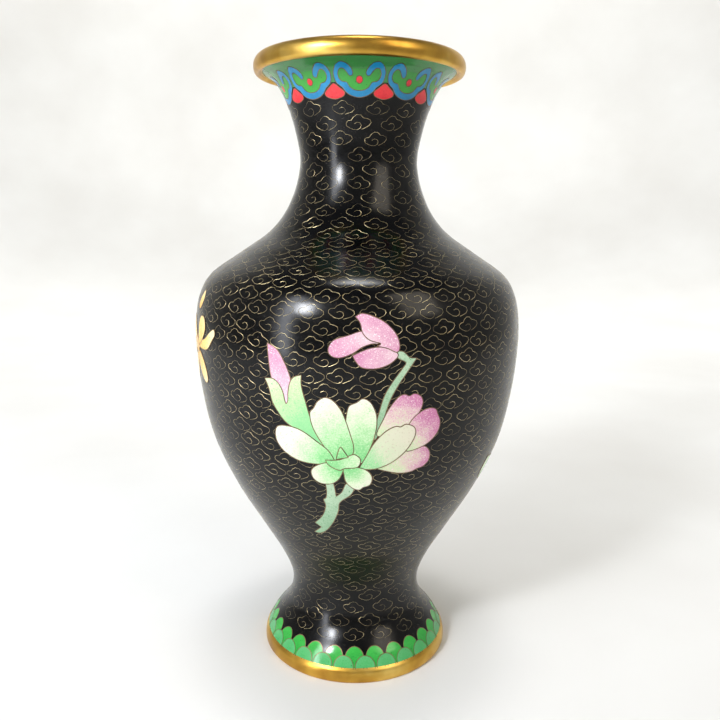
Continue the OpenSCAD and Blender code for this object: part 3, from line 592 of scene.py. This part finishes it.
# Copper wire of the petals: duller and browner than the scrolls round them.
dark_wire, place = started("browned_copper_wire")
worn = add(dark_wire, "ShaderNodeTexNoise", {"Scale": 1 / (3 * MM), "Detail": 3.0}, {"Vector": place})
tone = add(dark_wire, "ShaderNodeValToRGB", {"stops": [(0.3, "#5c4638"), (0.7, "#8f7658")]},
           {"Fac": worn.outputs["Fac"]})
dark_wire = finished(dark_wire, add(
    dark_wire, "ShaderNodeBsdfPrincipled", {"Metallic": 0.8, "Roughness": 0.45},
    {"Base Color": tone.outputs["Color"]}))
for node, group in WIRE_GROUPS.items():
    bed = bmesh.new()
    for outline, level, *_ in group:
        outline_wire(bed, smooth(outline, SMOOTHNESS), level)
    piece(bed, node + "_laid", dark_wire, "wire_brass", node)


# Yellow spray on the left side: a flower of six petals with an orange heart, a bud, a stem
# and two leaves, made like the magnolia.
YELLOW_TURN = math.radians(-68)
YELLOW_HEART = [(-2.6, 127.4), (0, 130), (2.6, 127.4), (0, 124.8)]
YELLOW_PETALS = [
    [(0.5, 128), (1.8, 133), (2.4, 136.2), (4.6, 138.4), (8, 138), (9.6, 134.4), (7, 130.5), (3, 128)],
    [(1, 127.6), (5.5, 126.8), (11.5, 127.4), (15.5, 130.8), (17.6, 133.2), (16.8, 135), (14, 133.8),
     (9.6, 131), (4, 129.5)],
    [(-1.5, 126), (3, 125.6), (7, 122.5), (9, 118.7), (9, 115.8), (6.6, 114.5), (2.8, 116.7), (0, 120.7)],
    [(0, 128.5), (-3, 133), (-6.5, 137), (-9.6, 137.4), (-10.6, 134.4), (-7, 130), (-2, 127.5)],
    [(-1, 128), (-7, 128.8), (-13, 128.2), (-16, 125.6), (-14.4, 123), (-9, 123.2), (-3, 125.5)],
    [(-0.5, 126), (-1.5, 121.5), (-3.5, 117), (-7, 114), (-10, 115), (-8.6, 118.4), (-5, 122.4),
     (-2.5, 126)],
]
YELLOW_BUD = [(1.6, 147.6), (1.6, 147.6), (3.6, 145.2), (3, 142.3), (1, 140.6), (-1.5, 141), (-1.2, 144)]
YELLOW_STEM = [(-2, 126), (-9, 121.5), (-15, 114.5), (-19, 106), (-21.4, 97), (-19.2, 96), (-16.6, 105.5),
               (-12.5, 113.2), (-7, 119.6), (-0.5, 124)]
YELLOW_LEAVES = [
    [(-14.5, 113), (-20, 116.4), (-26, 118.6), (-32, 118), (-32, 118), (-28, 113.6), (-22, 110.6),
     (-16, 109.6)],
    [(-18, 104), (-24, 104.6), (-30, 102), (-34, 97.4), (-34, 97.4), (-28, 96.6), (-22, 98.6)],
]
# Enamel shaded from orange-yellow at the heart to cream at the petal's tip.
yellow = enamel("yellow_to_cream_enamel", [(0.0, "#dd8f2e"), (0.25, "#edb74c"), (0.6, "#f6cf78"),
                                           (1.0, "#f8e6b6")], "#b8862f", grain=0.2, speck_share=0.7)
# Leaf enamel shaded from mid green at the stem to pale green.
leaf_green = enamel("pale_leaf_enamel", [(0.0, "#6fc487"), (0.5, "#a4dca0"), (1.0, "#d6eebc")],
                    "#5f9f6a", grain=0.25, speck_share=0.7)
flower_at = (0, 127.4)
YELLOW = [([YELLOW_HEART], 7, flower_at, 8, yellow, "petal_yellow", "yellow_heart"),
          (YELLOW_PETALS, 1, flower_at, 17, yellow, "petal_yellow", "yellow_petals"),
          ([YELLOW_BUD], 0, (0, 140), 9, yellow, "petal_yellow", "yellow_bud"),
          ([YELLOW_STEM], 0, (-20, 90), 50, stem_green, "stem_green", "yellow_stem"),
          (YELLOW_LEAVES, 0, (-16, 108), 18, leaf_green, "leaf_green", "yellow_leaves")]


def spray(parts, turn, wires_node):
    """Lays the cells of a spray and its wires; each cell of a part lies a level under the last."""
    wires = bmesh.new()
    for outlines, level, base, reach, fill, slot, node in parts:
        bed = bmesh.new()
        for i, outline in enumerate(outlines):
            line = smooth(outline, SMOOTHNESS)
            here = level + len(outlines) - 1 - i
            cell(bed, line, here, base, reach, (turn,))
            outline_wire(wires, line, here, (turn,))
        piece(bed, node + "_enamel", fill, slot, node)
    piece(wires, wires_node + "_laid", dark_wire, "wire_brass", wires_node)


spray(YELLOW, YELLOW_TURN, "yellow_wires")


# Leafy sprig on the right side: two leaves, a rose bud and a stem.
SPRIG_TURN = math.radians(85)
SPRIG_LEAVES = [
    [(-21.6, 86.6), (-21.6, 86.6), (-21.2, 81.5), (-17.5, 77), (-11, 74.6), (-3, 75.4), (-8, 80.6),
     (-14, 85.4)],
    [(-1, 77.6), (2.4, 84), (9, 88.6), (16, 89), (16, 89), (13, 82.6), (6, 78.4)],
]
SPRIG_BUD = [(5, 103.8), (1.6, 109), (1.8, 114.5), (5.4, 120), (5.4, 120), (9.6, 115.4), (10.4, 109.4),
             (9, 103.8)]
SPRIG_STEM = [(-6, 72.5), (-2.2, 77.5), (2.8, 88), (5.2, 98), (5.8, 105), (8.2, 105), (7.4, 98), (5, 87.4),
              (0.6, 76.4), (-3.6, 70.4)]
SPRIG = [(SPRIG_LEAVES, 2, (-2, 76), 20, leaf_green, "leaf_green", "sprig_leaves"),
         ([SPRIG_BUD], 1, (6.5, 102), 18, rose, "petal_pink", "sprig_bud"),
         ([SPRIG_STEM], 0, (-5, 70), 45, stem_green, "stem_green", "sprig_stem")]
spray(SPRIG, SPRIG_TURN, "sprig_wires")


# Collar under the mouth: ten cloud heads in blue on a green ground, each with a red dot,
# and red pendants hanging between them, in cells between gilt wires.
HEADS = 10
HEAD_EDGE = [(0, 212.6), (2.8, 213.2), (4.6, 214.4), (5.6, 215.6), (7.6, 217), (8.45, 218.8), (8.7, 220.4)]
HEAD_TIP = [(8.2, 221.9)]
SCROLL = [(7, 222.8), (5.4, 222.8), (3.6, 222), (2.4, 220.6), (2.3, 219.3), (3.3, 219), (4.2, 220),
          (5.4, 221.1), (6.6, 221.1), (7.2, 220), (6.9, 218.6), (5.8, 217.5), (4.2, 217.2), (3.2, 215.8),
          (1.6, 214.9), (0, 214.7)]
PENDANT = [(0, 217), (1.6, 216), (3.5, 214.3), (2.9, 213), (0, 212.2), (-2.9, 213), (-3.5, 214.3),
           (-1.6, 216)]
GREEN_Z = 217.3
DOT_Z = 217.9
DOT_R = 1.1
FINE_WIRE = 0.12
# Where the inside of a head ends, behind the ring
HEAD_TOP = (8.7, 221)
# Shade of the green above the heads, from 0 for the darkest to 1: kept low as a painted shadow of the mouth
# ring
RING_SHADOW_SHADE = 0.1
head_turns = [2 * math.pi * i / HEADS for i in range(HEADS)]
pendant_turns = [t + math.pi / HEADS for t in head_turns]


def both_sides(half):
    return half + [(-x, z) for x, z in reversed(half) if x > 0]


def circle(z, r, count=24):
    """A circle round the point at height z on the middle line."""
    return [(r * math.cos(a), z + r * math.sin(a)) for a in (2 * math.pi * i / count for i in range(count))]


# The darker low end of this green is painted shade: the shadow of the mouth ring on the collar.
collar_green = enamel("collar_green_enamel", [(0.0, "#468a4e"), (0.5, "#389a3b"), (1.0, "#3dac3a")],
                      "#1d6b30", grain=0.3, speck_share=0.72)
collar_blue = enamel("collar_blue_enamel", [(0.0, "#1578a8"), (1.0, "#2390c4")], "#125a8c", grain=0.35,
                     speck_share=0.72)
border_red = enamel("border_red_enamel", [(0.0, "#cf2430"), (1.0, "#ef3a40")], "#8a141c", grain=0.35,
                    speck_share=0.72)
# The green band under the ring takes the dark end of its ramp: painted shadow of the mouth ring.
green = spun(skin_line(GREEN_Z, RING_Z, -LEVEL_0, 12) + skin_line(RING_Z, GREEN_Z, WIRE_SINK, 12))
tone = green.verts.layers.float.new("shade")
for v in green.verts:
    v[tone] = RING_SHADOW_SHADE
# The green inside the heads grows darker from their lower edge up towards the ring: painted shadow of the
# mouth ring.
cell(green, both_sides(HEAD_EDGE + [HEAD_TOP]), 1, (0, 230), 20, head_turns)
piece(green, "collar_ground_enamel", collar_green, "collar_green", "collar_ground")

band = smooth(both_sides(HEAD_EDGE + HEAD_TIP + SCROLL), 2)
dot = circle(DOT_Z, DOT_R)
pendant = smooth(PENDANT, 3)
# Each colour's outline, level, base point, reach, places, enamel, slot and node
for outline, level, base, reach, turns, fill, slot, node in (
    (band, 3, (0, 212), 11, head_turns, collar_blue, "collar_blue", "collar_bands"),
    (dot, 3, (0, 217), 2, head_turns, border_red, "border_red", "collar_dots"),
    (pendant, 1, (0, 212), 6, pendant_turns, border_red, "border_red", "collar_pendants"),
):
    bed = bmesh.new()
    cell(bed, outline, level, base, reach, turns)
    piece(bed, node + "_enamel", fill, slot, node)

tips = HEAD_EDGE + HEAD_TIP
edge_line = smooth([(-x, z) for x, z in reversed(tips[1:])] + tips, 2, closed=False)
low = HEAD_TIP + SCROLL
scroll_line = smooth([(-x, z) for x, z in low[:-1]] + low[::-1], 2, closed=False)
# Each wire's line, level and places, whether it closes, and its node
for line, level, turns, closed, node in (
    (edge_line, 3, head_turns, False, "head_wires"), (scroll_line, 3, head_turns, False, "scroll_wires"),
    (dot, 3, head_turns, True, "dot_wires"), (pendant, 1, pendant_turns, True, "pendant_wires"),
):
    bed = bmesh.new()
    outline_wire(bed, line, level, turns, closed, FINE_WIRE)
    piece(bed, node + "_laid", dark_wire, "wire_brass", node)


# Foot border: two rows of round-topped green scales standing on the gilt foot ring, the
# lower row in front of the upper, each scale wired round.
SCALES = 27
SCALE_Z = 8.6
SCALE_R = 3.6
LOW_SCALE_R = 3.8
# How far the drawing of a scale runs down behind the ring, and how far its wire does
TUCK = 1.5
SEATED = 0.3
upper_turns = [2 * math.pi * i / SCALES for i in range(SCALES)]
lower_turns = [t + math.pi / SCALES for t in upper_turns]


def scale_line(z, r):
    """One scale: a half round on top, and straight sides down behind the ring."""
    low = FOOT_TOP - TUCK
    arc = [(r * math.cos(math.pi * i / 12), z + r * math.sin(math.pi * i / 12)) for i in range(13)]
    side = [(r, low + (z - low) * i / 8) for i in range(8)]
    return side + arc + [(-x, h) for x, h in reversed(side)]


foot_green = enamel("foot_green_enamel", [(0.0, "#259238"), (1.0, "#3fb649")], "#1d7a30", grain=0.35,
                    speck_share=0.7)
foot_mint = enamel("foot_mint_enamel", [(0.0, "#46a55c"), (1.0, "#63b878")], "#2b8a44", grain=0.35,
                   speck_share=0.7)
for name, z, r, level, turns, fill in (("upper", SCALE_Z, SCALE_R, 0, upper_turns, foot_green),
                                       ("lower", FOOT_TOP, LOW_SCALE_R, 2, lower_turns, foot_mint)):
    bed, wires = bmesh.new(), bmesh.new()
    cell(bed, scale_line(z, r), level, (0, 5), 9, turns, low=FOOT_TOP)
    piece(bed, "foot_scales_" + name + "_enamel", fill, "foot_green", "foot_scales_" + name)
    outline_wire(wires, scale_line(z, r), level, turns, closed=False, half=FINE_WIRE)
    cut(wires, (0, 0, (FOOT_TOP - SEATED) * MM), (0, 0, 1), drop=True)
    bmesh.ops.holes_fill(wires, edges=wires.edges, sides=8)
    piece(wires, name + "_scale_wires_laid", dark_wire, "wire_brass", name + "_scale_wires")


# Stage: a pale round floor that turns up into a pale wall, out of the object.
FLOOR_R = 1.5
BEND_R = 0.5
STAGE_H = 2.0
STAGE_STEPS = 96
bm = bmesh.new()
bend = [(FLOOR_R - BEND_R + BEND_R * math.sin(a), BEND_R - BEND_R * math.cos(a))
        for a in (math.radians(5 * i) for i in range(19))]
line = [bm.verts.new((r, 0, z)) for r, z in [(0, 0)] + bend + [(FLOOR_R, STAGE_H)]]
edges = [bm.edges.new((a, b)) for a, b in zip(line, line[1:])]
bmesh.ops.spin(bm, geom=line + edges, cent=(0, 0, 0), axis=(0, 0, 1), angle=2 * math.pi, steps=STAGE_STEPS,
               use_merge=True)
bmesh.ops.remove_doubles(bm, verts=bm.verts, dist=1e-6)
mesh = bpy.data.meshes.new("pale_floor")
bm.to_mesh(mesh)
bm.free()
mesh.shade_smooth()
pale, place = started("pale_matt_floor")
faint = add(pale, "ShaderNodeTexNoise", {"Scale": 6.0, "Detail": 3.0}, {"Vector": place})
tone = add(pale, "ShaderNodeValToRGB", {"stops": [(0.3, "#e6e5e2"), (0.7, "#efefed")]},
           {"Fac": faint.outputs["Fac"]})
mesh.materials.append(finished(pale, add(pale, "ShaderNodeBsdfPrincipled", {"Roughness": 0.5},
                                         {"Base Color": tone.outputs["Color"]})))
floor = bpy.data.objects.new("pale_floor", mesh)
bpy.context.scene.collection.objects.link(floor)

# Light: a gridded box overhead for the floor, one turned to the backdrop, a bright window box
# high at the left front with a tall weak strip beside it, a weak box at the right, and a dim
# surround, so that the black glass stays black from the front.
LAMPS = [
    # name, place, aim, width, height, spread in degrees, watts, colour
    ("overhead", (0, 0.5, 1.5), (0, 0.5001, 0), 1.7, 1.15, 24, 2.7, "#fdfeff"),
    ("backdrop", (0, 0.35, 1.5), (0, 1.5, 0.35), 1.6, 0.4, 110, 7.2, "#fffefb"),
    ("window", (-0.42, -0.55, 0.52), (0, 0, 0.13), 0.11, 0.16, 180, 4.4, "#f6f9ff"),
    ("strip", (-0.55, -0.5, 0.38), (0, 0, 0.17), 0.12, 0.8, 180, 3.0, "#f4f7ff"),
    ("side", (0.48, -0.46, 0.66), (0, 0, 0.14), 0.34, 0.56, 180, 2.0, "#fff4e4"),
]
for name, at, aim, width, height, spread, watts, colour in LAMPS:
    lamp = bpy.data.lights.new(name, "AREA")
    lamp.shape = "RECTANGLE"
    lamp.size, lamp.size_y = width, height
    lamp.spread = math.radians(spread)
    lamp.energy = watts
    lamp.color = linear(colour)[:3]
    obj = bpy.data.objects.new(name, lamp)
    obj.location = at
    obj.rotation_euler = (Vector(aim) - Vector(at)).to_track_quat("-Z", "Y").to_euler()
    bpy.context.scene.collection.objects.link(obj)
world = bpy.data.worlds.new("soft_surround")
world.use_nodes = True
surround = world.node_tree.nodes["Background"]
surround.inputs["Color"].default_value = linear("#dfe3e6")
surround.inputs["Strength"].default_value = 0.22
bpy.context.scene.world = world
bpy.context.scene.view_settings.view_transform = "Standard"

# Camera: a wide lens close by, a little under the mouth's height and looking down.
LOOK_DOWN = 11.13
LEAN = 0.5
camera = bpy.data.objects.new("camera", bpy.data.cameras.new("camera"))
camera.data.sensor_width = 24
camera.data.lens = 24
camera.data.clip_start = 0.01
camera.data.shift_x = 0.0042
camera.location = (0, -0.2807, 0.1727)
camera.rotation_euler = (
    Matrix.Rotation(math.radians(90 - LOOK_DOWN), 3, "X")
    @ Matrix.Rotation(math.radians(LEAN), 3, "Z")).to_euler()
bpy.context.scene.collection.objects.link(camera)
bpy.context.scene.camera = camera
